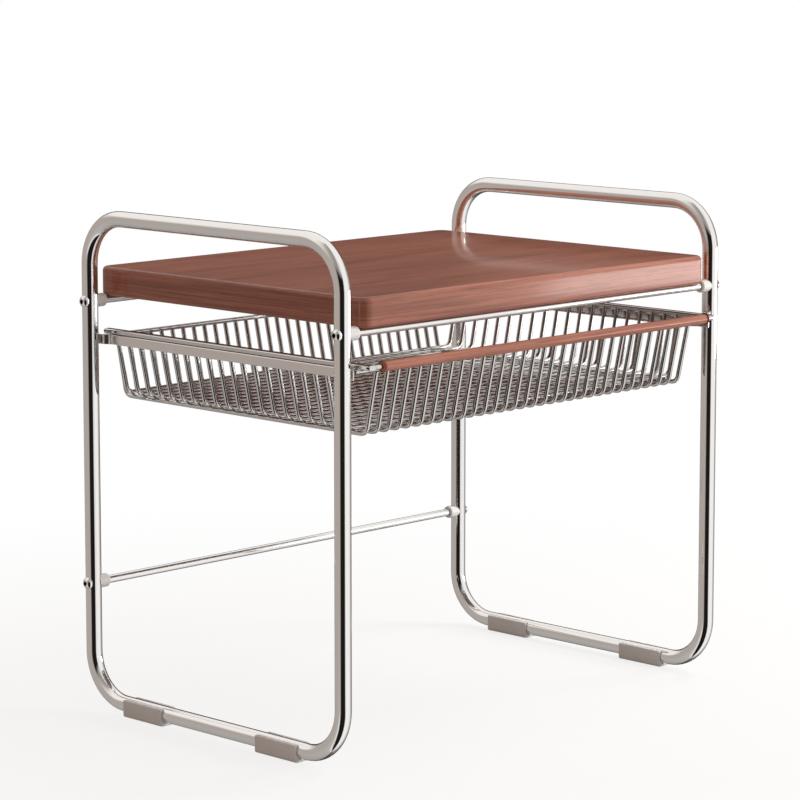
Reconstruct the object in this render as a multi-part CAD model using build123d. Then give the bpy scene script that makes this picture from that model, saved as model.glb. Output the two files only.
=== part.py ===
"""Microwave stand with a pull-out wire drawer under a wooden shelf board.

Millimetres, +Z up, front of the stand towards -Y. The origin is on the floor, in the middle
of the whole stand's outline. Each piece is written to parts/NAME.step.
"""

import os
from math import cos, degrees, pi, radians, tan

from build123d import *

# ---------------------------------------------------------------- side frames (closed tube loops)
tube_dia = 16.0
frame_width = 536.0          # post centre to post centre, left to right
frame_depth = 358.0          # post centre to post centre, front to back
frame_height = 488.0         # bottom rail centre to top rail centre
bend_radius = 48.0           # on the tube's centre line
tube_sides = 12              # flats that stand for the tube's round section

# ---------------------------------------------------------------- clip-on feet
foot_sole = 3.0              # plastic under the tube
foot_length = 56.0
foot_wall = 1.8              # beside the tube
foot_grip = 6.3              # how far the walls reach above the tube's centre
foot_setback = 83.0          # post centre to the middle of the foot
foot_corner = 3.0
foot_clearance = 0.1         # foot to tube

# ---------------------------------------------------------------- cross rods, collars and screws
rod_dia = 8.0
board_rod_drop = 85.0        # top rail centre down to the two upper rods
lower_rod_rise = 117.0       # bottom rail centre up to the lower rear rod
collar_dia = 13.5
collar_length = 10.0         # from the post's inner side
collar_recess = 6.0          # depth of the rod's seat in the collar
collar_edge = 0.8
screw_dia = 5.0
screw_grip = 12.0            # thread length inside the rod
screw_head_dia = 12.0
screw_head_height = 3.6
screw_socket = 4.0           # across the flats
screw_socket_depth = 2.2
fit_clearance = 0.05         # radial, round pieces in their holes
turned_sides = 12            # flats that stand for a small turned piece's round section

# ---------------------------------------------------------------- shelf board
board_thickness = 29.0
board_end_gap = 0.5          # collar's inner end to the board's end
board_overhang = 9.5         # past the post centres, front and back
board_corner_radius = 12.0
board_edge = 2.5             # bevel along the top and bottom edges

# ---------------------------------------------------------------- drawer runners (folded strip)
runner_drop = 118.5          # top rail centre down to the runner's top edge
runner_height = 10.0
runner_sheet = 1.2
runner_standoff = 4.0        # post's inner side to the web's outer face
runner_lip = 5.0             # overall width across the flanges
runner_front_start = 16.0    # behind the front post centre
runner_back_stop = 16.5      # ahead of the back post centre
runner_joggle = 8.0          # length over which the end tab steps out to the post
runner_tab = 6.0             # tab past the post centre line

# ---------------------------------------------------------------- drawer rim
rail_width = 9.0
rail_height = 5.0
rail_wall = 1.0
rail_corner = 2.0
rail_gap = 0.2               # running gap above the runner
rail_side_gap = 0.5          # runner web's outer face to the rail's outer side
rail_back_end = 5.4          # ahead of the back post centre
rim_bar_depth = 4.0          # front and back bars that carry the wires' ends
rim_bar_height = 4.5
front_bar_reach = 4.0        # front wires ahead of the front post centre
back_bar_reach = 5.6         # back wires behind the back post centre
handle_reach = 20.0          # handle axis ahead of the front post centre
handle_rod_dia = 5.0
handle_dia = 12.5
handle_end_gap = 31.5        # post centre to the end of the wooden handle
handle_edge = 0.8
handle_clearance = 0.1
guide_dia = 4.0
guide_drop = 5.0             # rail's underside down to the guide rod's axis
guide_weld_gap = 0.02        # guide rod to the wires' flats and to the back bar
drawer_travel = 240.0
stop_clearance = 0.3

# ---------------------------------------------------------------- wire basket
wire_dia = 4.6               # across the flats
wire_bend_radius = 9.0       # on the wire's centre line
wire_bend_steps = 3          # mitres that stand for each bend
wire_sides = 6
wall_lean = 12.5             # degrees, all four walls
basket_depth = 65.5          # rails' underside down to the lower wires
lengthwise_count = 32
crosswise_count = 20
front_crosswise_inset = 7.0  # behind the end of the front bends
side_wire_gap = 0.4          # side wires' flats, at the rails, to the runners' flanges

# ---------------------------------------------------------------- worked out from the sizes above
tube_radius = tube_dia / 2
rail_low_z = foot_sole + tube_radius
rail_top_z = rail_low_z + frame_height
front_reach = frame_depth / 2 + handle_reach + handle_dia / 2
back_reach = frame_depth / 2 + max(board_overhang, tube_radius)
middle_y = (front_reach - back_reach) / 2
front_post_y = middle_y - frame_depth / 2
back_post_y = middle_y + frame_depth / 2
post_x = frame_width / 2
inner_face_x = post_x - tube_radius

upper_rod_z = rail_top_z - board_rod_drop
lower_rod_z = rail_low_z + lower_rod_rise
collar_end_x = inner_face_x - collar_length
rod_half_length = collar_end_x + collar_recess
rod_places = {
    "front_top_rod": (front_post_y, upper_rod_z),
    "rear_top_rod": (back_post_y, upper_rod_z),
    "rear_lower_rod": (back_post_y, lower_rod_z),
}

board_bottom_z = upper_rod_z + rod_dia / 2
board_length = 2 * (collar_end_x - board_end_gap)
board_depth = frame_depth + 2 * board_overhang

runner_top_z = rail_top_z - runner_drop
runner_bottom_z = runner_top_z - runner_height
web_x = inner_face_x - runner_standoff
channel_front_y = front_post_y + runner_front_start
channel_back_y = back_post_y - runner_back_stop

rail_bottom_z = runner_top_z + rail_gap
rail_outer_x = web_x - rail_side_gap
rail_inner_x = rail_outer_x - rail_width
handle_y = front_post_y - handle_reach
handle_z = rail_bottom_z + rail_height / 2
rail_front_y = handle_y - handle_rod_dia / 2
rail_back_y = back_post_y - rail_back_end
front_wire_y = front_post_y - front_bar_reach
back_wire_y = back_post_y + back_bar_reach
front_bar_bottom_z = rail_bottom_z - rim_bar_height
guide_z = rail_bottom_z - guide_drop
back_bar_bottom_z = guide_z - rim_bar_height / 2

lower_wire_z = rail_bottom_z - basket_depth
upper_wire_z = lower_wire_z + wire_dia
wire_width = wire_dia / cos(pi / wire_sides)
lean = tan(radians(wall_lean))
lean_tangent = wire_bend_radius * tan(radians(90 - wall_lean) / 2)
side_wire_x = web_x - runner_lip - side_wire_gap - wire_dia / 2
side_foot_x = side_wire_x - (rail_bottom_z - upper_wire_z) * lean
front_foot_y = front_wire_y + (front_bar_bottom_z - lower_wire_z) * lean
back_foot_y = back_wire_y - (back_bar_bottom_z - lower_wire_z) * lean
outer_lengthwise_x = side_foot_x - lean_tangent
front_crosswise_y = front_foot_y + lean_tangent + wire_width / 2 + front_crosswise_inset
back_crosswise_y = back_foot_y - lean_tangent - wire_width / 2
guide_x = (side_wire_x - guide_drop * lean + (wire_dia + guide_dia) / 2 / cos(radians(wall_lean))
           + guide_weld_gap)
guide_front_y = channel_front_y + runner_sheet + drawer_travel + stop_clearance
guide_back_y = back_wire_y - rim_bar_depth / 2 - guide_weld_gap
back_bar_end_x = guide_x + guide_dia / 2


def y_cylinder(radius, x, z, y_from, y_to):
    """Round bar along Y."""
    return Plane((x, y_from, z), z_dir=(0, 1, 0)) * Cylinder(
        radius, y_to - y_from, align=(Align.CENTER, Align.CENTER, Align.MIN)
    )


def x_cylinder(radius, x_from, x_to, y, z):
    """Round bar along X."""
    return Plane((x_from, y, z), z_dir=(1, 0, 0)) * Cylinder(
        radius, x_to - x_from, align=(Align.CENTER, Align.CENTER, Align.MIN)
    )


def x_turned(radius, x_from, x_to, y, z):
    """Small turned bar along X, with flats for its round section."""
    section = Plane((x_from, y, z), z_dir=(1, 0, 0)) * RegularPolygon(radius, turned_sides)
    return extrude(section, x_to - x_from)


def block(x_from, x_to, y_from, y_to, z_from, z_to):
    """Rectangular block between two corners."""
    return Pos(x_from, y_from, z_from) * Box(
        x_to - x_from, y_to - y_from, z_to - z_from, align=(Align.MIN, Align.MIN, Align.MIN)
    )


def side_frame(side):
    """Closed loop of round tube, drilled for the screws that hold the cross rods."""
    corners = [(front_post_y, rail_low_z), (back_post_y, rail_low_z),
               (back_post_y, rail_top_z), (front_post_y, rail_top_z)]
    loop = FilletPolyline(*[(side * post_x, y, z) for y, z in corners], radius=bend_radius, close=True)
    frame = sweep(Plane(loop @ 0, z_dir=loop % 0) * RegularPolygon(tube_radius, tube_sides), path=loop)
    for y, z in rod_places.values():
        frame -= x_turned(screw_dia / 2 + fit_clearance, side * post_x - tube_dia,
                          side * post_x + tube_dia, y, z)
    return frame


def cross_rod(y, z):
    """Round rod between two collars, with a tapped hole in each end."""
    rod = x_cylinder(rod_dia / 2, -rod_half_length, rod_half_length, y, z)
    hole_depth = screw_grip + 2
    for side in (-1, 1):
        ends = sorted((side * rod_half_length, side * (rod_half_length - hole_depth)))
        rod -= x_turned(screw_dia / 2 + fit_clearance, *ends, y, z)
    return rod


def collar(side, y, z):
    """Plastic collar: saddle against the post, seat for the rod, hole for the screw."""
    ends = sorted((side * post_x, side * collar_end_x))
    body = x_turned(collar_dia / 2, *ends, y, z)
    body = chamfer(body.faces().sort_by(Axis.X)[0 if side > 0 else -1].edges(), collar_edge)
    post = Plane((side * post_x, y, z - collar_dia)) * RegularPolygon(tube_radius + fit_clearance, tube_sides)
    body -= extrude(post, 2 * collar_dia)
    seat = sorted((side * collar_end_x, side * rod_half_length))
    body -= x_turned((rod_dia / 2 + fit_clearance) / cos(pi / turned_sides), *seat, y, z)
    return body - x_turned(screw_dia / 2 + 2 * fit_clearance, *ends, y, z)


def button_screw(side, y, z):
    """Button-head socket screw through the post into the rod's end."""
    head_radius = screw_head_dia / 2
    head_x = sorted((side * (post_x + tube_radius), side * (post_x + tube_radius + screw_head_height)))
    head = x_turned(head_radius, *head_x, y, z)
    head = chamfer(head.faces().sort_by(Axis.X)[-1 if side > 0 else 0].edges(), 0.6 * screw_head_height,
                   0.35 * head_radius)
    socket_x = sorted((side * (post_x + tube_radius + screw_head_height),
                       side * (post_x + tube_radius + screw_head_height - screw_socket_depth)))
    socket_face = Plane((socket_x[0], y, z), z_dir=(1, 0, 0)) * RegularPolygon(
        screw_socket / 2, 6, major_radius=False)
    head -= extrude(socket_face, screw_socket_depth)
    shank_x = sorted((side * (post_x + tube_radius), side * (rod_half_length - screw_grip)))
    return head + x_turned(screw_dia / 2, *shank_x, y, z)


def foot(x, y):
    """Clip-on foot: a cradle block, open at the top, that grips the bottom rail."""
    half_width = tube_radius + foot_wall
    top = rail_low_z + foot_grip
    blank = Pos(x, y, top / 2) * Box(2 * half_width, foot_length, top)
    blank = fillet(blank.edges().filter_by(Axis.Y).group_by(Axis.Z)[0], foot_corner)
    groove = Plane((x, y - foot_length, rail_low_z), z_dir=(0, 1, 0)) * RegularPolygon(
        tube_radius + foot_clearance, tube_sides)
    return blank - extrude(groove, 2 * foot_length)


def board():
    """Shelf board with rounded corners and eased edges."""
    plate = Pos(0, middle_y, board_bottom_z + board_thickness / 2) * Box(
        board_length, board_depth, board_thickness)
    plate = fillet(plate.edges().filter_by(Axis.Z), board_corner_radius)
    return chamfer(plate.faces().filter_by(Axis.Z).edges(), board_edge)


def runner(side):
    """Folded strip: a C-channel web between the posts, with a stepped tab at each end."""
    web = side * (web_x - runner_sheet / 2)
    tab = side * (inner_face_x - runner_sheet / 2)
    line = FilletPolyline(
        (tab, front_post_y - runner_tab), (tab, channel_front_y - runner_joggle),
        (web, channel_front_y), (web, channel_back_y), (tab, channel_back_y + runner_joggle),
        (tab, back_post_y + runner_tab), radius=2 * runner_sheet)
    strip = extrude(Pos(0, 0, runner_bottom_z) * trace(line, runner_sheet), runner_height)
    lip_x = sorted((side * web_x, side * (web_x - runner_lip)))
    for z in (runner_bottom_z, runner_top_z - runner_sheet):
        strip += block(*lip_x, channel_front_y, channel_back_y, z, z + runner_sheet)
    strip += block(*lip_x, channel_front_y, channel_front_y + runner_sheet, runner_bottom_z, runner_top_z)
    return strip


def drawer_rail(side):
    """Flat tube along the top of the basket's side; it slides on the runner."""
    centre_x = side * (rail_outer_x + rail_inner_x) / 2
    section = Plane((centre_x, rail_front_y, handle_z), x_dir=(1, 0, 0), z_dir=(0, 1, 0))
    outline = RectangleRounded(rail_width, rail_height, rail_corner)
    hollow = Rectangle(rail_width - 2 * rail_wall, rail_height - 2 * rail_wall)
    return extrude(section * (outline - hollow), rail_back_y - rail_front_y)


def bend_corners(before, corner, after):
    """Path corners that go round a bend in equal mitres, outside its arc."""
    back = (before - corner).normalized()
    ahead = (after - corner).normalized()
    turn = pi - radians(back.get_angle(ahead))
    middle = corner + (back + ahead).normalized() * (wire_bend_radius / cos(turn / 2))
    spoke = (corner - middle).normalized()
    normal = ahead.cross(back).normalized()
    reach = wire_bend_radius / cos(turn / 2 / wire_bend_steps)
    step = turn / wire_bend_steps
    angles = [(index - (wire_bend_steps - 1) / 2) * step for index in range(wire_bend_steps)]
    return [middle + spoke.rotate(Axis((0, 0, 0), normal), degrees(angle)) * reach for angle in angles]


def bent_wire(plane, start, first_corner, second_corner, end):
    """U-shaped wire in a plane, through two bends."""
    start, first_corner, second_corner, end = (
        plane.from_local_coords(Vector(*point)) for point in (start, first_corner, second_corner, end))
    path = Polyline(start, *bend_corners(start, first_corner, second_corner),
                    *bend_corners(first_corner, second_corner, end), end)
    section = Plane(path @ 0, x_dir=plane.z_dir, z_dir=path % 0)
    return sweep(section * RegularPolygon(wire_dia / 2, wire_sides, major_radius=False), path=path,
                 transition=Transition.RIGHT)


def level_cut(x, y, z):
    """Block that cuts a wire's end level at a height."""
    reach = 3 * wire_dia
    return block(x - reach, x + reach, y - reach, y + reach, z, z + reach)


def lengthwise_wire():
    """Front-to-back wire of the basket's lower layer, at x = 0."""
    over = wire_dia
    plane = Plane(origin=(0, 0, 0), x_dir=(0, 1, 0), z_dir=(1, 0, 0))
    wire = bent_wire(plane, (front_wire_y - over * lean, front_bar_bottom_z + over),
                     (front_foot_y, lower_wire_z), (back_foot_y, lower_wire_z),
                     (back_wire_y + over * lean, back_bar_bottom_z + over))
    wire -= level_cut(0, front_wire_y, front_bar_bottom_z)
    return wire - level_cut(0, back_wire_y, back_bar_bottom_z)


def crosswise_wire():
    """Side-to-side wire of the basket's upper layer, at y = 0."""
    over = wire_dia
    top_x = side_wire_x + over * lean
    plane = Plane(origin=(0, 0, 0), x_dir=(1, 0, 0), z_dir=(0, -1, 0))
    wire = bent_wire(plane, (-top_x, rail_bottom_z + over), (-side_foot_x, upper_wire_z),
                     (side_foot_x, upper_wire_z), (top_x, rail_bottom_z + over))
    return wire - level_cut(-side_wire_x, 0, rail_bottom_z) - level_cut(side_wire_x, 0, rail_bottom_z)


def spread(first, last, count):
    """Evenly spaced places from first to last."""
    return [first + (last - first) * index / (count - 1) for index in range(count)]


def rim_bar(end_x, y, bottom_z):
    """Flat bar across the drawer that carries the ends of the lengthwise wires."""
    return block(-end_x, end_x, y - rim_bar_depth / 2, y + rim_bar_depth / 2,
                 bottom_z, bottom_z + rim_bar_height)


def handle():
    """Wooden dowel with a bore for the rod that carries it."""
    half = post_x - handle_end_gap
    dowel = x_cylinder(handle_dia / 2, -half, half, handle_y, handle_z)
    dowel = chamfer(dowel.edges().filter_by(GeomType.CIRCLE), handle_edge)
    return dowel - x_cylinder(handle_rod_dia / 2 + handle_clearance, -half, half, handle_y, handle_z)


def build():
    """Every piece of the stand, by name."""
    pieces = {}
    for name, side in (("left", -1), ("right", 1)):
        pieces[name + "_side_frame"] = [side_frame(side)]
        pieces[name + "_runner"] = [runner(side)]
        pieces[name + "_drawer_rail"] = [drawer_rail(side)]
        pieces[name + "_guide_rod"] = [y_cylinder(guide_dia / 2, side * guide_x, guide_z,
                                                  guide_front_y, guide_back_y)]
        pieces["front_" + name + "_foot"] = [foot(side * post_x, front_post_y + foot_setback)]
        pieces["rear_" + name + "_foot"] = [foot(side * post_x, back_post_y - foot_setback)]
    for name, (y, z) in rod_places.items():
        pieces[name] = [cross_rod(y, z)]
        pieces[name + "_collars"] = [collar(side, y, z) for side in (-1, 1)]
    pieces["frame_screws"] = [button_screw(side, y, z) for y, z in rod_places.values() for side in (-1, 1)]
    pieces["top_board"] = [board()]

    pieces["handle_rod"] = [x_cylinder(handle_rod_dia / 2, -rail_inner_x, rail_inner_x, handle_y, handle_z)]
    pieces["wooden_handle"] = [handle()]
    pieces["drawer_front_bar"] = [rim_bar(rail_outer_x, front_wire_y, front_bar_bottom_z)]
    pieces["drawer_back_bar"] = [rim_bar(back_bar_end_x, back_wire_y, back_bar_bottom_z)]
    wire = lengthwise_wire()
    pieces["lengthwise_wires"] = [Pos(x, 0, 0) * wire for x in spread(
        -outer_lengthwise_x, outer_lengthwise_x, lengthwise_count)]
    wire = crosswise_wire()
    pieces["crosswise_wires"] = [Pos(0, y, 0) * wire for y in spread(
        front_crosswise_y, back_crosswise_y, crosswise_count)]
    return pieces


os.makedirs("parts", exist_ok=True)
for name, solids in build().items():
    shape = solids[0] if len(solids) == 1 else Compound(children=solids)
    shape.label = name
    export_step(shape, f"parts/{name}.step")
    print(name, len(solids), round(sum(solid.volume for solid in solids)))
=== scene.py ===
"""Looks of the microwave stand with a pull-out wire drawer.

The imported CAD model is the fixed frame. Tubes, wires, turned and folded pieces and the wood are
made again here with their round sections, soft edges and finishes, each riding on its own body.
Everything is in metres, +Z up, with the front of the stand towards -Y.
"""

from __future__ import annotations

import logging
import math
from dataclasses import dataclass
from enum import Enum
from typing import Callable, ClassVar, Sequence

import bmesh
import bpy
from mathutils import Euler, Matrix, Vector

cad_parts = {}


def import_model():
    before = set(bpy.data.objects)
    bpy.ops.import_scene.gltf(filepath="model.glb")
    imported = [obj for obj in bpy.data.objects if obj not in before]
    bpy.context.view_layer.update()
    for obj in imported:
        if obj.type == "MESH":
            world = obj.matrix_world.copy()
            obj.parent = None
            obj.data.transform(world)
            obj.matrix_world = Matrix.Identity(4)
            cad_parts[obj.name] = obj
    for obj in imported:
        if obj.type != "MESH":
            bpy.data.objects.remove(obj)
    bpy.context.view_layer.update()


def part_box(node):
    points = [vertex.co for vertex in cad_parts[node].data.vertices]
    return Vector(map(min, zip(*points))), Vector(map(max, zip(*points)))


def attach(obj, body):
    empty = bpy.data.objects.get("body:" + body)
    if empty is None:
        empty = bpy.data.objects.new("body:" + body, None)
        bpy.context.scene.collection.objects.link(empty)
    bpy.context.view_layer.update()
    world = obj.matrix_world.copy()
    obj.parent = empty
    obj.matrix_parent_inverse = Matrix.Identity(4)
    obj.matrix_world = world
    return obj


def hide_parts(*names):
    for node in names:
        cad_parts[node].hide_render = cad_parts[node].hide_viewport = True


log = logging.getLogger("stand")

Point = tuple[float, float, float]
Flat = tuple[float, float]
Colour = tuple[float, float, float]
Bands = tuple[tuple[float, Colour], ...]
Socket = bpy.types.NodeSocket
Setting = object

GRAIN = "grain"  # attribute: coordinates along and across the wood's grain
# The socket mask below carries painted shade: the plating's base colour goes near-black there.
RECESS = "recess"  # attribute: 1 inside a screw's socket
OUTWARDS = "outwards"  # attribute: where a screw's head faces
HAIR = 0.0001  # between surfaces that only just touch
SHARP_DEGREES = 38.0  # edges sharper than this are shaded sharp
BEVEL_DEGREES = 40.0  # edges sharper than this are rounded by a bevel


class Body(Enum):
    """The bodies of the stand that move as one."""

    FRAME = "frame"
    DRAWER = "drawer"


class Slot(Enum):
    """The record's material slots."""

    CHROME = "chrome"
    WIRE = "chrome_wire"
    RUNNER = "runner_steel"
    PLASTIC = "white_plastic"
    BOARD = "board_wood"
    HANDLE = "handle_wood"


class Side(Enum):
    """Left and right of the stand, as the sign of X."""

    LEFT = -1
    RIGHT = 1

    @property
    def word(self) -> str:
        """The side's name in lower case."""
        return self.name.lower()


# ------------------------------------------------------------------------------ node building


class Nodes:
    """Adds and links the nodes of one tree."""

    def __init__(self, tree: bpy.types.NodeTree) -> None:
        """Starts on an emptied tree."""
        self.tree = tree
        tree.nodes.clear()

    def add(self, kind: str, inputs: dict[str | int, Setting] | None = None,
            **settings: Setting) -> bpy.types.Node:
        """Adds one node.

        Args:
            kind: The node's type name.
            inputs: Values or output sockets, by input name or number.
            **settings: The node's own properties.

        Returns:
            The new node.
        """
        node = self.tree.nodes.new(kind)
        for name, value in settings.items():
            setattr(node, name, value)
        for key, value in (inputs or {}).items():
            socket = node.inputs[key]
            if isinstance(value, Socket):
                self.tree.links.new(value, socket)
            else:
                socket.default_value = value
        return node

    def out(self, kind: str, inputs: dict[str | int, Setting] | None = None, **settings: Setting) -> Socket:
        """Adds one node and gives its first output."""
        return self.add(kind, inputs, **settings).outputs[0]

    def ramp(self, value: Socket, stops: Sequence[tuple[float, Colour]]) -> Socket:
        """Colours a value.

        Args:
            value: The socket that drives the ramp.
            stops: Places from 0 to 1 and their colours.

        Returns:
            The colour socket.
        """
        node = self.add("ShaderNodeValToRGB", {"Fac": value})
        elements = node.color_ramp.elements
        while len(elements) < len(stops):
            elements.new(0.5)
        for element, (place, colour) in zip(elements, stops):
            element.position = place
            element.color = (*colour, 1.0)
        return node.outputs["Color"]

    def math(self, operation: str, *values: Setting) -> Socket:
        """Works out one number from numbers or sockets."""
        return self.out("ShaderNodeMath", dict(enumerate(values)), operation=operation)

    def noise(self, vector: Socket, scale: Point, detail: float, distortion: float = 0.0) -> Socket:
        """Noise of some octaves, with its own frequency per metre along each axis."""
        place = self.out("ShaderNodeMapping", {"Vector": vector, "Scale": scale})
        return self.out("ShaderNodeTexNoise", {"Vector": place, "Scale": 1.0, "Detail": detail,
                                               "Distortion": distortion})

    def between(self, value: Socket, low: float, high: float, start: float = 0.0,
                stop: float = 1.0) -> Socket:
        """Maps start to low and stop to high, and holds the result between them."""
        return self.out("ShaderNodeMapRange", {"Value": value, "From Min": start, "From Max": stop,
                                               "To Min": low, "To Max": high})

    def blend(self, factor: Setting, first: Setting, second: Setting, kind: str = "MIX") -> Socket:
        """Mixes two colours."""
        return self.add("ShaderNodeMix", {"Factor": factor, "A": first, "B": second}, data_type="RGBA",
                        blend_type=kind).outputs["Result"]

    def bump(self, height: Socket, strength: float, distance: float) -> Socket:
        """A normal that follows a height."""
        return self.out("ShaderNodeBump", {"Strength": strength, "Distance": distance, "Height": height})

    def join(self, *parts: Socket) -> Socket:
        """Joins geometries.

        Args:
            *parts: The geometries' sockets.

        Returns:
            The joined geometry's socket.
        """
        node = self.add("GeometryNodeJoinGeometry")
        for part in parts:
            self.tree.links.new(part, node.inputs[0])
        return node.outputs[0]


# ------------------------------------------------------------------------------ finishes


@dataclass(frozen=True)
class Finish:
    """A surface finish: its name, its record slot and the material that shows it."""

    name: str
    slot: Slot

    @property
    def material(self) -> bpy.types.Material:
        """The finish's material, made on first use."""
        return bpy.data.materials.get(self.name) or self.make()

    def make(self) -> bpy.types.Material:
        """Builds the material on object coordinates.

        Returns:
            The material.
        """
        material = bpy.data.materials.new(self.name)
        material.use_nodes = True
        nodes = Nodes(material.node_tree)
        place = nodes.add("ShaderNodeTexCoord").outputs["Object"]
        shader = nodes.out("ShaderNodeBsdfPrincipled", self.surface(nodes, place))
        nodes.add("ShaderNodeOutputMaterial", {"Surface": shader})
        return material

    def surface(self, nodes: Nodes, place: Socket) -> dict[str, Setting]:
        """Gives the surface shader's inputs; each kind of finish has its own."""
        raise NotImplementedError


@dataclass(frozen=True)
class PolishedMetal(Finish):
    """Bright plating with a faint handled haze, and painted shade in recesses: a near-black base colour where
    a screw's socket is marked.
    """

    colour: Colour = (0.86, 0.85, 0.84)
    # painted shade: near-black base colour inside screw sockets, standing in for the shade in the hexagon
    recess: Colour = (0.10, 0.09, 0.085)
    roughness: Flat = (0.04, 0.10)
    haze_per_metre: float = 14.0
    ripple_per_metre: float = 60.0
    bump: Flat = (0.03, 0.0004)

    def surface(self, nodes: Nodes, place: Socket) -> dict[str, Setting]:
        """Gives the plating's inputs.

        Args:
            nodes: The node builder.
            place: The object coordinates.

        Returns:
            The shader's inputs.
        """
        haze = nodes.noise(place, (self.haze_per_metre,) * 3, 5.0)
        ripple = nodes.noise(place, (self.ripple_per_metre,) * 3, 2.0)
        # painted shade: the marked socket faces take the near-black colour instead of the plating's own
        deep = nodes.add("ShaderNodeAttribute", attribute_name=RECESS).outputs["Fac"]
        return {"Base Color": nodes.ramp(deep, ((0.0, self.colour), (1.0, self.recess))), "Metallic": 1.0,
                "Roughness": nodes.between(haze, *self.roughness, 0.35, 0.7),
                "Normal": nodes.bump(ripple, *self.bump)}


@dataclass(frozen=True)
class BrushedSteel(Finish):
    """Plated strip with faint drawn lines along the stand's depth."""

    colour: Colour = (0.80, 0.77, 0.75)
    roughness: Flat = (0.17, 0.24)
    lines: Point = (2600.0, 7.0, 2600.0)
    bump: Flat = (0.02, 0.0001)

    def surface(self, nodes: Nodes, place: Socket) -> dict[str, Setting]:
        """Gives the drawn steel's inputs.

        Args:
            nodes: The node builder.
            place: The object coordinates.

        Returns:
            The shader's inputs.
        """
        drawn = nodes.noise(place, self.lines, 3.0)
        return {"Base Color": (*self.colour, 1.0), "Metallic": 1.0,
                "Roughness": nodes.between(drawn, *self.roughness, 0.3, 0.7),
                "Normal": nodes.bump(drawn, *self.bump)}


@dataclass(frozen=True)
class MouldedPlastic(Finish):
    """White moulded plastic with a fine spark texture."""

    light: Colour = (0.84, 0.825, 0.81)
    shade: Colour = (0.79, 0.77, 0.75)
    cloud_per_metre: float = 40.0
    grain_per_metre: float = 1800.0
    roughness: Flat = (0.34, 0.46)
    bump: Flat = (0.15, 0.0001)

    def surface(self, nodes: Nodes, place: Socket) -> dict[str, Setting]:
        """Gives the plastic's inputs.

        Args:
            nodes: The node builder.
            place: The object coordinates.

        Returns:
            The shader's inputs.
        """
        cloud = nodes.noise(place, (self.cloud_per_metre,) * 3, 3.0)
        grain = nodes.noise(place, (self.grain_per_metre,) * 3, 2.0)
        return {"Base Color": nodes.ramp(cloud, ((0.35, self.shade), (0.65, self.light))),
                "Roughness": nodes.between(grain, *self.roughness), "Normal": nodes.bump(grain, *self.bump),
                "Subsurface Weight": 0.05, "Subsurface Scale": 0.004}


@dataclass(frozen=True)
class StainedWood(Finish):
    """Reddish stained wood under satin lacquer, with the grain along the first grain coordinate."""

    dark: Colour = (0.235, 0.073, 0.042)
    middle: Colour = (0.35, 0.118, 0.071)
    light: Colour = (0.44, 0.16, 0.102)
    figure: Point = (1.6, 11.0, 26.0)
    streaks: Point = (7.0, 240.0, 480.0)
    pores: Point = (60.0, 1000.0, 1500.0)
    tones: Point = (0.38, 0.49, 0.60)
    roughness: Flat = (0.32, 0.44)
    bump: Flat = (0.25, 0.0003)
    specular: float = 0.32
    coat: Flat = (0.4, 0.11)

    def surface(self, nodes: Nodes, place: Socket) -> dict[str, Setting]:
        """Gives the wood's inputs, from the piece's own grain coordinates.

        Args:
            nodes: The node builder.
            place: The object coordinates, which the wood doesn't need.

        Returns:
            The shader's inputs.
        """
        along = nodes.add("ShaderNodeAttribute", attribute_name=GRAIN).outputs["Vector"]
        figure = nodes.noise(along, self.figure, 4.0, 0.9)
        streaks = nodes.noise(along, self.streaks, 6.0, 0.6)
        tone = nodes.math("ADD", nodes.math("MULTIPLY", figure, 0.5), nodes.math("MULTIPLY", streaks, 0.5))
        wood = nodes.ramp(tone, tuple(zip(self.tones, (self.dark, self.middle, self.light))))
        pits = nodes.between(nodes.noise(along, self.pores, 2.0), 1.0, 0.68, 0.58, 0.70)
        grey = nodes.out("ShaderNodeCombineColor", {0: pits, 1: pits, 2: pits})
        height = nodes.math("ADD", nodes.math("MULTIPLY", pits, 0.6), nodes.math("MULTIPLY", streaks, 0.4))
        return {"Base Color": nodes.blend(1.0, wood, grey, "MULTIPLY"),
                "Roughness": nodes.between(streaks, *self.roughness),
                "Normal": nodes.bump(height, *self.bump), "Specular IOR Level": self.specular,
                "Coat Weight": self.coat[0], "Coat Roughness": self.coat[1]}


CHROME = PolishedMetal("plated_tube", Slot.CHROME)
# The drawer's plating is darker than the tube's: partly its own duller plating, partly painted shade for the
# drawer sitting under the board.
WIRE = PolishedMetal("plated_wire", Slot.WIRE, colour=(0.67, 0.65, 0.635), roughness=(0.04, 0.09),
                     haze_per_metre=25.0)
STEEL = BrushedSteel("drawn_strip", Slot.RUNNER)
PLASTIC = MouldedPlastic("moulded_plastic", Slot.PLASTIC)
BOARD_WOOD = StainedWood("board_stain", Slot.BOARD)
HANDLE_WOOD = StainedWood("dowel_stain", Slot.HANDLE, figure=(2.0, 60.0, 60.0), streaks=(7.0, 420.0, 420.0))


# ------------------------------------------------------------------------------ pieces and meshes


@dataclass
class Piece:
    """A finished mesh, its finish, the body it rides on and the CAD nodes it stands for."""

    name: str
    mesh: bpy.types.Mesh
    body: Body
    finish: Finish
    nodes: tuple[str, ...]

    def place(self) -> None:
        """Puts the piece in the scene, at the origin."""
        self.mesh.name = self.name
        self.mesh.materials.clear()
        self.mesh.materials.append(self.finish.material)
        self.mesh.set_sharp_from_angle(angle=math.radians(SHARP_DEGREES))
        made = bpy.data.objects.new(self.name, self.mesh)
        bpy.context.scene.collection.objects.link(made)
        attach(made, self.body.value)
        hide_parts(*self.nodes)
        log.info("%s: %d faces on %s", self.name, len(self.mesh.polygons), self.body.value)


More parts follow.
